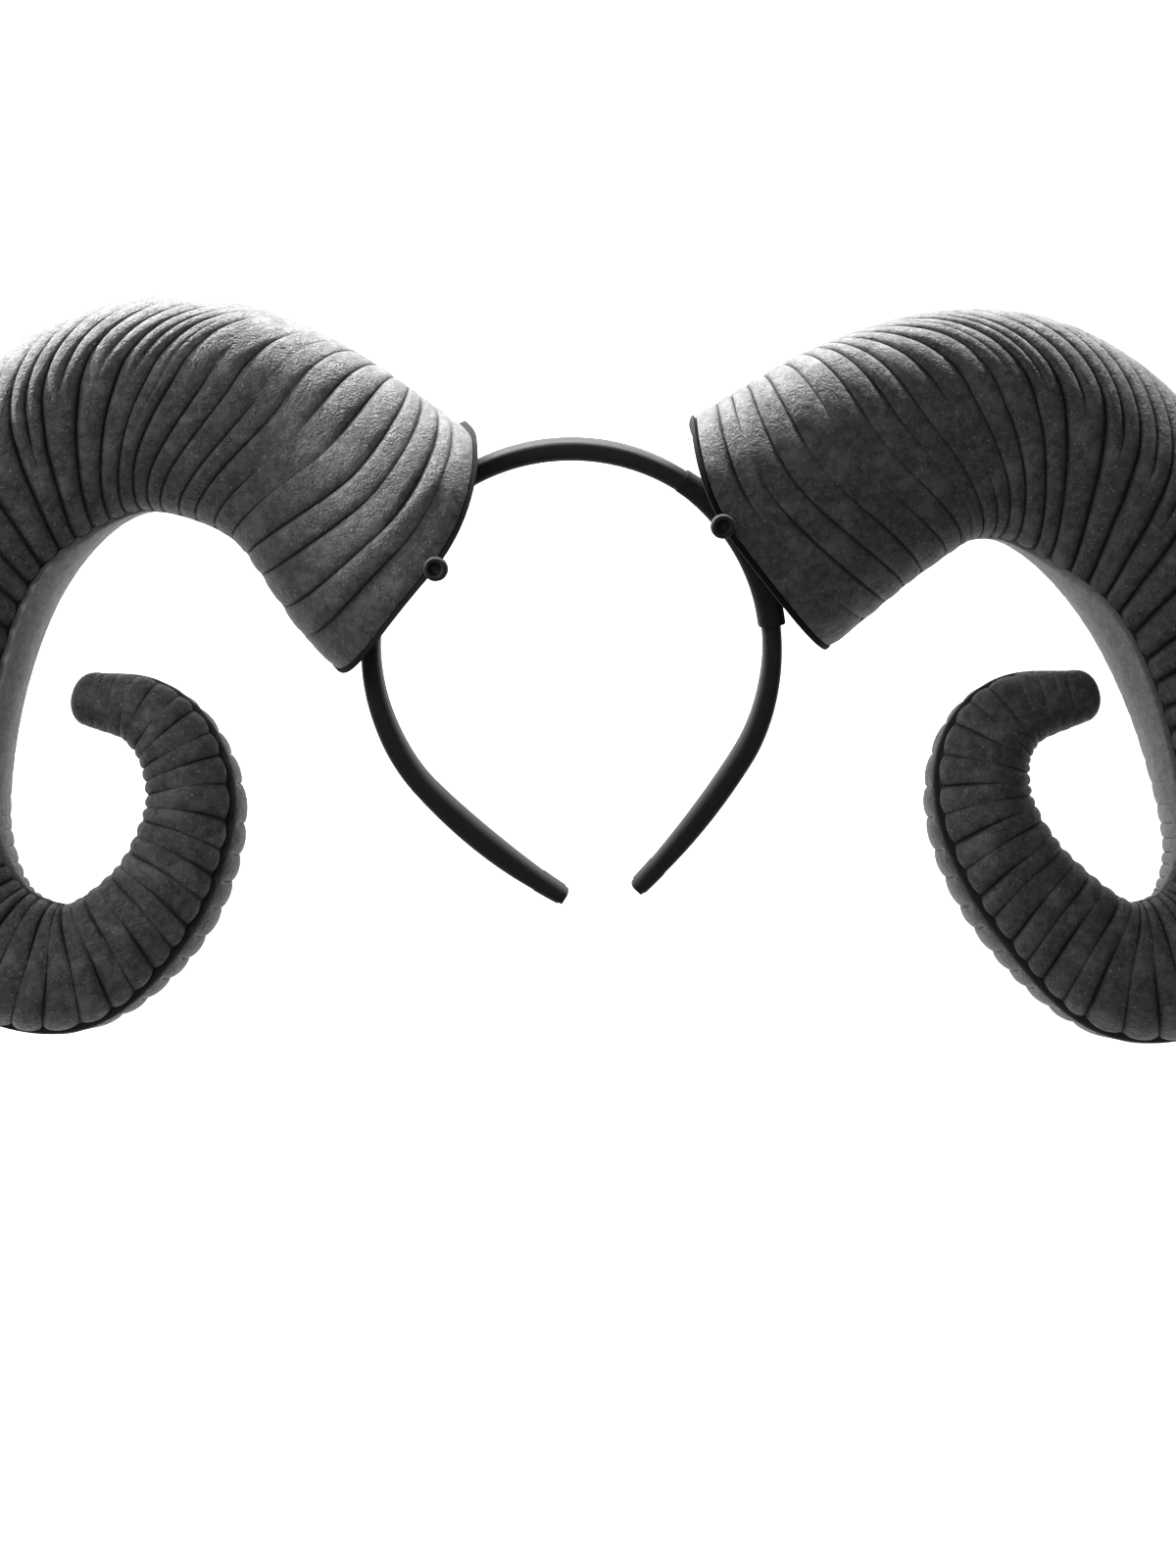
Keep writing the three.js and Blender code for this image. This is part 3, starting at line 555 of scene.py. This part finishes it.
def skin_columns():
    near = np.array(SEAM_STEPS)
    middle = np.linspace(near[-1], 1 - near[-1], MIDDLE_COLUMNS)[1:-1]
    return np.concatenate([near, middle, 1 - near[::-1]])

# %% [markdown]
# The ribs' depth is worked out from real distances on the smooth skin, as a moulder would
# mark them. A rib's end is rounded: the distance to its edge is its half width less the
# distance to its middle line, measured round the corner near the seam.

# %% Distances on a skin
EDGE_ROUND = 0.8                  # rounding of the shells' edges at the seams and the rim
SEAM_CHANNEL = 0.6                # width of the channel, darkened with painted shade, between ribs' ends and the seam
END_ROUND = 0.45                  # length of a rib's rounded end, as a share of its half width
NARROWEST = 0.5                   # mm, the least half width of a rib


def distances(rows, flat):
    """Along the smooth skin: to the nearer seam, to the rim, and each rib's half width."""
    side_step = np.linalg.norm(np.diff(flat, axis=1), axis=2)
    from_outer = np.pad(np.cumsum(side_step, axis=1), ((0, 0), (1, 0)))
    from_inner = from_outer[:, -1:] - from_outer
    row_step = np.linalg.norm(np.diff(flat, axis=0), axis=2)
    from_rim = np.pad(np.cumsum(row_step, axis=0), ((1, 0), (0, 0)))
    width = np.zeros_like(from_rim)
    rib = rows[:, 2]
    for number in np.unique(rib):
        members = np.flatnonzero(rib == number)
        last = min(members[-1] + 1, len(rows) - 1)
        width[members] = from_rim[last] - from_rim[members[0]]
    return np.minimum(from_inner, from_outer), from_rim, np.maximum(width / 2, NARROWEST)


def rounded(x):
    """A quarter circle: 0 at the edge, 1 from a distance of 1 on."""
    return np.sqrt(1 - (1 - np.clip(x, 0, 1)) ** 2)

# %% [markdown]
# No two grooves of the real horns are alike. Near the base a groove is strong at the inner
# side and fades in front. On the lower curl every second one is short. The crown's side is
# nearly smooth. Seeded random draws say where each groove fades, so that every run gives the
# same horns.

# %% How deep the grooves are
NEAR_BASE = (85, 125)             # all these are mm along the horn, from and to
LOW_CURL = (235, 285)
# where painted shade takes the back's painted light off the low curl
LOW_CURL_DARK = (235, 300)
CROWN_EASE = (50, 65)
FADE_BREADTH = (20, 34)           # degrees round the horn
FADE_MIDDLE = 95
FADE_LEAST = 0.35                 # share of its depth that every groove loses at least
CALM_EVEN, CALM_ODD = 80, 125     # degrees where the grooves of the lower curl fade
CALM_BREADTH = 42
CALM_LEAST, CALM_MORE = 0.45, 0.4  # share of the depth that they lose


def groove_depth(horn, s, turn, after, draw, count):
    """The depth of the groove nearest to each point."""
    depth = horn.read("relief", s) * np.ones_like(turn)
    place = draw.uniform(*horn.form["fade"], count)[after][:, None]
    breadth = draw.uniform(*FADE_BREADTH, count)[after][:, None]
    weak = draw.uniform(FADE_LEAST, 1, count)[after][:, None]
    fade = weak * np.exp(-((turn - place) / breadth) ** 2)
    depth = depth * (1 - fade * (1 - smooth_steps(s, *NEAR_BASE)))
    calm_at = np.where(after % 2, CALM_ODD, CALM_EVEN)[:, None] + (place - FADE_MIDDLE) / 3
    calm = np.exp(-((turn - calm_at) / CALM_BREADTH) ** 2)
    calm = calm * (CALM_LEAST + CALM_MORE * weak) * smooth_steps(s, *LOW_CURL)
    depth = depth * (1 - calm)
    crown_from, crown_to = horn.form["crown_run"]
    crown = (smooth_steps(s, crown_from, crown_from + CROWN_EASE[0])
             * (1 - smooth_steps(s, crown_to, crown_to + CROWN_EASE[1]))
             * (1 - smooth_steps(turn, *horn.form["crown_turns"])))
    return depth * (1 - horn.form["crown_smooth"] * crown)

# %% [markdown]
# The front halves have full ribs that end in the seam's channel, dark with painted shade. The
# back halves have shallow ones, as moulders often leave the side that isn't looked at. A
# sculpted mesh could hold both, but one formula for the drop can be read and changed.

# %% The relief
SPLIT_EASE = (25, 20)             # mm over which the short grooves begin and end
SPLIT_ENDS = (95, 125)            # degrees round the horn where they stop, with their fade
SPLIT_FADE = 18
SPLIT_DEPTH = 0.85                # share of a full groove
BACK_EASE = (0.8, 5)              # mm from the seam over which a back half's ribs begin
BACK_DEPTH, BACK_MORE = 0.45, 0.25  # share of a front groove, and more on the lower curl
TIP_SMOOTH, TIP_SLIM = 25, 45     # mm before the tip
TIP_SHALLOW = 0.4                 # share of the depth that is lost at the tip
DEEP_ENOUGH = (0.3, 1.2)          # mm of depth between which a groove gets painted shade
LINE_END = 1.6                    # the seam's line of painted shade ends at this many channel widths
LINE_FROM = (50, 90)              # mm along the horn where it begins
BACK_DARK = (-0.6, 0.1)           # cosines of phi between which the back loses its painted light to painted shade


def relief(horn, half, rows, flat, phi, draw):
    """How far each point of a skin drops below the smooth form, and its painted shade."""
    s, share, number = rows[:, :1], rows[:, 1], rows[:, 2].astype(int)
    count = number.max() + 2
    turn = np.degrees(phi)
    to_seam, from_rim, half_width = distances(rows, flat)
    middle = np.abs(2 * share - 1)[:, None] * half_width
    tip = smooth_steps(s, horn.length - TIP_SMOOTH, horn.length)
    depth = groove_depth(horn, s, turn, number + (share > 0.5), draw, count)
    if half > 0:
        ends = draw.uniform(*SPLIT_ENDS, count)[number][:, None]
        short = (smooth_steps(s, SPLIT_FROM, SPLIT_FROM + SPLIT_EASE[0])
                 * (1 - smooth_steps(s, SPLIT_TO - SPLIT_EASE[1], SPLIT_TO))
                 * (1 - smooth_steps(turn, ends - SPLIT_FADE, ends)))
        depth = depth * (1 - TIP_SHALLOW * tip)
        seam = np.maximum(to_seam - SEAM_CHANNEL * (1 - tip), 0)
        end = 1 - seam / (END_ROUND * half_width)
        edge = half_width * (1 - np.hypot(middle / half_width, np.maximum(0, end)))
        edge = np.where(seam <= 0, 0, edge)
    else:
        short = 0 * turn
        depth = depth * (BACK_DEPTH + BACK_MORE * smooth_steps(s, *LOW_CURL))
        depth = depth * smooth_steps(to_seam, *BACK_EASE) * (1 - tip)
        edge = half_width - middle
    soft = half_width * horn.read("round", s)
    drop = depth * (1 - rounded(edge / np.maximum(soft * (1 - 0.5 * short), NARROWEST)))
    split = depth * (1 - rounded(middle / np.maximum(soft / 2, NARROWEST)))
    drop = np.maximum(drop, SPLIT_DEPTH * short * split)
    corner = rounded(np.minimum(to_seam, from_rim) / EDGE_ROUND)
    drop = np.maximum(drop, 0.5 * EDGE_ROUND * (1 - corner))
    # painted shade: dark where a groove is deep enough, and in the dark places below
    groove = np.maximum(smooth_steps(drop, *DEEP_ENOUGH),
                        dark_places(horn, half, s, phi, to_seam, tip))
    slim = horn.form["slim"] * smooth_steps(s, horn.length - TIP_SLIM, horn.length)
    return drop + slim, groove


def dark_places(horn, half, s, phi, to_seam, tip):
    """Painted shade: in front the seam's line, at the back all but the loop's inner side."""
    if half > 0:
        line = 1 - smooth_steps(to_seam, SEAM_CHANNEL, LINE_END * SEAM_CHANNEL)
        return line * smooth_steps(s, *LINE_FROM) * (1 - tip)
    return np.maximum(horn.form["dark"] * smooth_steps(s, *LOW_CURL_DARK),
                      smooth_steps(np.cos(phi), *BACK_DARK))

# %% [markdown]
# A half shell is then one sheet, moved to the ribbed skin and extruded inward to its lining,
# which gives the wall of a real moulding. Solidify would do that too, but it would carry the
# grooves to the inside and cross itself in the tight curl.

# %% Half shells
SEED = 5
SHELL_CREASE = 55                 # degrees; sharper edges than this stay sharp


def half_shell(horn, half, material):
    """The front half is 1 and the back half is -1. Both share their grooves."""
    name = horn.form["name"]
    draw = np.random.default_rng(SEED + horn.side)
    grooves = groove_lines(horn, draw)
    rows = skin_rows(horn, grooves, half)
    s = rows[:, :1]
    gap = SEAM_GAP / 2 / horn.read("half_wide", s)
    outer = np.radians(horn.read("seam_out", s)) + half * gap
    inner = np.pi - np.radians(horn.read("seam_in", s)) - half * gap
    sweep = inner - outer if half > 0 else inner - outer - 2 * np.pi
    phi = outer + sweep * skin_columns()[None, :]
    station = horn.rib_line(s + 0 * phi, phi)
    flat = horn.place(station, *horn.skin(station, phi))
    drop, groove = relief(horn, half, rows, flat, phi, draw)
    points = horn.place(station, *horn.skin(station, phi, 0, drop))
    past = np.maximum(station - horn.length, 0)
    inward = station - past * SHELL_WALL / TIP_DOME
    lining = horn.place(inward, *horn.skin(inward, phi, SHELL_WALL))
    mesh = bent_sheet(points)
    add_wall(mesh, points.shape[:2], lining, groove)
    close_up(mesh)
    node = f"horn_{name}_{'front' if half > 0 else 'back'}_shell"
    finish_piece(mesh, node + "_skin", material, node, SHELL_CREASE)


def add_wall(mesh, shape, lining, groove):
    """Extrude the sheet to its lining. Each vertex carries its own target."""
    rows, columns = shape
    target = mesh.verts.layers.float_vector.new("target")
    # the groove attribute holds the painted shade that the foam's colour reads
    shade = mesh.verts.layers.float.new("groove")
    mesh.verts.ensure_lookup_table()
    for index, vertex in enumerate(mesh.verts):
        row, column = divmod(index, columns)
        vertex[target] = lining[row, column] * MM
        vertex[shade] = groove[row, column]
    made = bmesh.ops.extrude_face_region(mesh, geom=mesh.faces[:], use_keep_orig=True)
    for vertex in made["geom"]:
        if isinstance(vertex, bmesh.types.BMVert):
            vertex.co = vertex[target]
    mesh.verts.layers.float_vector.remove(target)


for side, horn in horns.items():
    half_shell(horn, 1, horn_foam)
    half_shell(horn, -1, back_foam_painted_light)

# %% [markdown]
# ## Pads and sleeves
# A sheet of soft foam closes each horn's base, and a felt sleeve on it holds the band. Only
# the pad's edge shows, as a black line, so no cloth simulation is needed. The pad is a disc
# that follows the rim, full in its middle and pressed thin at its edge. The sleeve is a
# short pipe along the band.

# %% Pads
PAD_COLUMNS = 97
PAD_PROFILE = [   # share of the rim's size, and share of the pad's thickness
    (1e-4, 0), (0.3, 0), (0.6, 0), (0.85, 0), (0.95, 0), (0.98, 0.03), (1, 0.12),
    (1, 0.42), (0.98, 0.55), (0.95, 0.62), (0.85, 0.8), (0.6, 1), (0.3, 1), (1e-4, 1)]


def base_pad(horn):
    """The pad's rings run from the middle of its face round the edge to its back."""
    turn = np.linspace(0, 2 * np.pi, PAD_COLUMNS)
    share, back = (np.array(column)[:, None] for column in zip(*PAD_PROFILE))
    across, front = horn.skin(np.zeros((1, PAD_COLUMNS)), turn[None, :])
    across, front = across * share, front * share
    behind = back * PAD_THICK + PAD_GAP
    points = horn.place(horn.rim(across, front) - behind, across, front)
    points[0], points[-1] = points[0].mean(0), points[-1].mean(0)
    mesh = bent_sheet(points)
    close_up(mesh)
    name = horn.form["name"]
    pad = finish_piece(mesh, f"base_pad_{name}_foam", pad_felt, f"base_pad_{name}")


# %% Sleeves
SLEEVE_STEPS = 25
SLEEVE_INWARD = 0.12              # mm that a sleeve's middle lies inside the bar's line
SLEEVE_HUG, SLEEVE_LIP = 0.1, 0.3  # mm over the cover: the felt's inside, its pressed end
LIP_LENGTH = 14                   # degrees over which the crown's end is pressed flush


def pipe(outer, inner):
    """A pipe between two sets of rings, its ends turned over the wall."""
    return bent_sheet(np.concatenate([outer, inner[::-1], outer[:1]]))


def band_sleeve(horn):
    """The felt follows the cloth cover inside and keeps clear of the pad outside."""
    angle = np.linspace(SLEEVE_FROM, SLEEVE_TO, SLEEVE_STEPS)
    angle = angle if horn.side > 0 else 180 - angle
    turn = np.radians(angle)
    along = np.stack([-np.sin(turn), np.cos(turn) * BAND_STRETCH], -1)
    cover, inward = cover_size(angle)
    inner = band_rings(band_point(angle, inward), along, cover + SLEEVE_HUG,
                       0 * turn + BAND_WIDE + SLEEVE_HUG)
    grow = 2 * (FIT_GAP + SLEEVE_WALL)
    flush = 0.25 + 0.75 * smooth_steps(np.abs(angle - angle[-1]), 0, LIP_LENGTH)
    inward = inward + (SLEEVE_INWARD - inward) * flush
    full = BAND_THICK + grow + 2 * SLEEVE_INWARD
    thick = cover + SLEEVE_LIP + (full - cover - SLEEVE_LIP) * flush
    outer = band_rings(band_point(angle, inward), along, thick,
                       BAND_WIDE + SLEEVE_LIP + (grow - SLEEVE_LIP) * flush)
    mesh = pipe(outer, inner)
    close_up(mesh)
    name = horn.form["name"]
    finish_piece(mesh, f"band_sleeve_{name}_felt", sleeve_felt, f"band_sleeve_{name}")


for horn in horns.values():
    base_pad(horn)
    band_sleeve(horn)

# %% [markdown]
# ## The hair band
# A springy plastic strip in a padded satin cover makes the band. The cover is thicker than
# the bar of the solids, most of all at the crown and in the left arm. A curve with a bevel
# would give one section all along, so rings are swept along the arc and the two arms
# instead, each with its own size. A few shrinking rings close the ends.

# %% Band
ARM_STEPS, ARC_STEPS = 24, 120
CAP_SIZES = (1e-3, 0.5, 0.8, 0.95)   # shares of a full section, from the very tip
CAP_RINGS = len(CAP_SIZES)
INWARD_EASE = 25                     # degrees over which the arc leaves the arms' line


def arm_thickness(at, arm, bulge):
    """Bar and cover. The share arm is 1 at the tip, and bulge is added in the arm's middle."""
    swell = np.clip(-at[:, 1] / (BAND_RADIUS * ARM_SWELL), 0, 1)
    thick = BAND_THICK + (ARM_THICK - BAND_THICK) * swell
    cover = COVER + bulge * np.sin(np.pi * arm) - COVER_TIP * arm ** COVER_TIP_POWER
    return thick + (TIP_THICK - thick) * arm + cover


def hair_band():
    """From the right tip over the crown to the left tip."""
    share = np.linspace(1, 0, ARM_STEPS)
    right, left = (arm_station(side, share)[0] for side in (1, -1))
    angle = np.linspace(-ARM_SWEEP[1], 180 + ARM_SWEEP[-1], ARC_STEPS)
    from_arms = np.minimum(angle - angle[0], angle[-1] - angle)
    arc = band_point(angle, cover_size(angle)[1] * smooth_steps(from_arms, 0, INWARD_EASE))
    at = np.concatenate([right[:-1], arc, left[::-1][1:]])
    arm = np.concatenate([share[:-1], 0 * angle, share[::-1][1:]])
    crown = np.concatenate([0 * share[1:], COVER_CROWN * crown_share(angle), 0 * share[1:]])
    size = np.concatenate([CAP_SIZES, np.ones(len(at)), CAP_SIZES[::-1]])
    at, along, arm, crown = (
        np.concatenate([np.repeat(v[:1], CAP_RINGS, 0), v, np.repeat(v[-1:], CAP_RINGS, 0)])
        for v in (at, np.gradient(at, axis=0), arm, crown))
    wide = BAND_WIDE + (TIP_WIDE - BAND_WIDE) * arm
    bulge = np.where(at[:, 0] < 0, COVER_ARM[-1], COVER_ARM[1])
    points = band_rings(at, along, (arm_thickness(at, arm, bulge) + crown) * size, wide * size)
    points[0], points[-1] = points[0].mean(0), points[-1].mean(0)
    mesh = bent_sheet(points)
    close_up(mesh)
    finish_piece(mesh, "headband_cloth", band_cloth, "headband")


# %% [markdown]
# The cover's end is folded over at each tip and glued, which leaves a small step. It is a
# thin pipe of cloth round the arm, thickest toward the tip.

# %% End wraps
WRAP_STEPS = 12


def end_wrap(side):
    """The fold hugs the band where it starts, and is thickest at the tip."""
    back = np.linspace(WRAP_BACK, WRAP_BACK + WRAP_LENGTH, WRAP_STEPS)
    arm = 1 - back / ARM_LENGTH[side]
    at, along = arm_station(side, arm)
    thick = arm_thickness(at, arm, COVER_ARM[side])
    wide = BAND_WIDE + (TIP_WIDE - BAND_WIDE) * arm
    wall = 2 * np.linspace(WRAP_CLOTH, 0.4 * WRAP_CLOTH, WRAP_STEPS)
    rings = [band_rings(at, along, thick + 2 * WRAP_HUG + grow, wide + 2 * WRAP_HUG + grow)
             for grow in (wall, 0)]
    mesh = pipe(*rings)
    close_up(mesh)
    name = HORNS[side]["name"]
    finish_piece(mesh, f"end_wrap_{name}_cloth", band_cloth, f"end_wrap_{name}")


hair_band()
end_wrap(-1)
end_wrap(1)

# %% [markdown]
# ## Pin loops
# A small rolled ring of ribbon at the front of each pad takes a hair pin, and shows end on as
# a round dark hole. A torus would lack the flat rim and the floor, so a profile runs once
# round an axis that stands on the skin.

# %% Pin loops
LOOP_BACK = 2                     # mm from the rim toward the head
LOOP_LIFT = 0.15                  # mm off the smooth skin
LOOP_COLUMNS = 41
LOOP_PROFILE = [   # radius and height: the underside, the round wall, the hole and its floor
    (0, 0), (2.9, 0), (3.25, 0.15), (3.4, 0.5), (3.4, 1.8), (3.2, 2.2), (2.8, 2.4),
    (2.3, 2.4), (1.95, 2.2), (1.75, 1.8), (1.7, 0.7), (1.5, 0.5), (0, 0.5)]


def pin_loop(horn):
    phi = math.radians(horn.form["loop"])
    across, front = horn.skin(0.0, phi)
    s = horn.rim(across, front) - LOOP_BACK
    at = horn.place(s, across, front)
    along = horn.place(s + 1, across, front) - at
    beside = horn.place(s, *horn.skin(0.0, phi + math.radians(1))) - at
    normal = np.cross(along, beside)
    normal = Vector(normal * np.sign(normal[2])).normalized()
    radius, height = (np.array(column)[:, None] for column in zip(*LOOP_PROFILE))
    turn = np.linspace(0, 2 * np.pi, LOOP_COLUMNS)[None, :]
    mesh = bent_sheet(np.stack([radius * np.cos(turn), radius * np.sin(turn),
                                height + 0 * turn], -1))
    tilt = Vector((0, 0, 1)).rotation_difference(normal).to_matrix().to_4x4()
    stand = Matrix.Translation(Vector(at) * MM + normal * LOOP_LIFT * MM)
    bmesh.ops.transform(mesh, verts=mesh.verts, matrix=stand @ tilt)
    close_up(mesh)
    name = horn.form["name"]
    finish_piece(mesh, f"pin_loop_{name}_ribbon", ribbon_cloth, f"pin_loop_{name}")


for horn in horns.values():
    pin_loop(horn)

# %% [markdown]
# ## Floor, camera and light
# The object lies on its back on a white ground, and the camera looks straight down on it.
# Black foam on white shows its form only where light grazes it. So a long low strip of light
# stands beyond the crown, and two weak lights fill the fronts. The floor glows a little,
# which keeps shadows off it, as on a light table. The surroundings are bright only near the
# horizon, so that they don't veil the black.

# %% Floor and view
FLOOR_HALF, FLOOR_DROP, FLOOR_GLOW = 3, 0.0002, 1.6   # metres, metres, strength
bpy.context.scene.view_settings.view_transform = "Standard"
floor_mesh = bmesh.new()
bmesh.ops.create_grid(floor_mesh, x_segments=1, y_segments=1, size=FLOOR_HALF)
bmesh.ops.translate(floor_mesh, verts=floor_mesh.verts, vec=(0, 0, -FLOOR_DROP))
floor_data = bpy.data.meshes.new("floor")
floor_mesh.to_mesh(floor_data)
floor_mesh.free()
floor = bpy.data.objects.new("floor", floor_data)
pale, _, pale_shader = new_material("pale_floor", (0.9, 0.9, 0.9), 0.9)
pale_shader.inputs["Emission Color"].default_value = (1, 1, 1, 1)
pale_shader.inputs["Emission Strength"].default_value = FLOOR_GLOW
floor_data.materials.append(pale)
bpy.context.collection.objects.link(floor)

# %% Camera
CAMERA_AT = (-0.00093, -0.03278, 0.85)    # metres, over the middle of the picture
LENS_MM, SENSOR_MM = 65.1, 36
lens = bpy.data.cameras.new("camera")
lens.lens, lens.sensor_width = LENS_MM, SENSOR_MM
camera = bpy.data.objects.new("camera", lens)
camera.location = CAMERA_AT
bpy.context.collection.objects.link(camera)
bpy.context.scene.camera = camera
print("camera", CAMERA_AT[2], "m above the floor, lens", LENS_MM, "mm")

# %% Lights
LIGHTS = (   # name, place and aim in metres, size in metres, watts
    ("crown_light", (-0.2, 0.6, 0.025), (-0.02, 0.06, 0.02), (1.4, 0.045), 75),
    ("side_light", (-0.5, 0.3, 0.35), (0, -0.02, 0.03), (0.25, 0.25), 3.5),
    ("overhead", (-0.15, 0.1, 1.4), (0, 0, 0), (0.6, 0.6), 6))


def soft_light(name, place, toward, size, watts):
    lamp = bpy.data.lights.new(name, "AREA")
    lamp.shape, lamp.size, lamp.size_y, lamp.energy = "RECTANGLE", *size, watts
    light = bpy.data.objects.new(name, lamp)
    light.location = place
    light.rotation_euler = (Vector(toward) - Vector(place)).to_track_quat("-Z", "Y").to_euler()
    bpy.context.collection.objects.link(light)


for row in LIGHTS:
    soft_light(*row)
print("lights:", [name for name, *_ in LIGHTS])

# %% Surroundings
BRIGHT_BELOW, DIM_ABOVE = 0.12, 0.3       # heights of a direction's tip, for a length of 1
BRIGHT, DIM = 1, 0.2
world = bpy.data.worlds.new("surroundings")
world.use_nodes = True
sky = world.node_tree
background = sky.nodes["Background"]
background.inputs["Color"].default_value = (1, 1, 1, 1)
direction = sky.nodes.new("ShaderNodeTexCoord")
split = sky.nodes.new("ShaderNodeSeparateXYZ")
sky.links.new(direction.outputs["Generated"], split.inputs["Vector"])
sky.links.new(ranged(sky, split.outputs["Z"], BRIGHT_BELOW, DIM_ABOVE, BRIGHT, DIM),
              background.inputs["Strength"])
bpy.context.scene.world = world
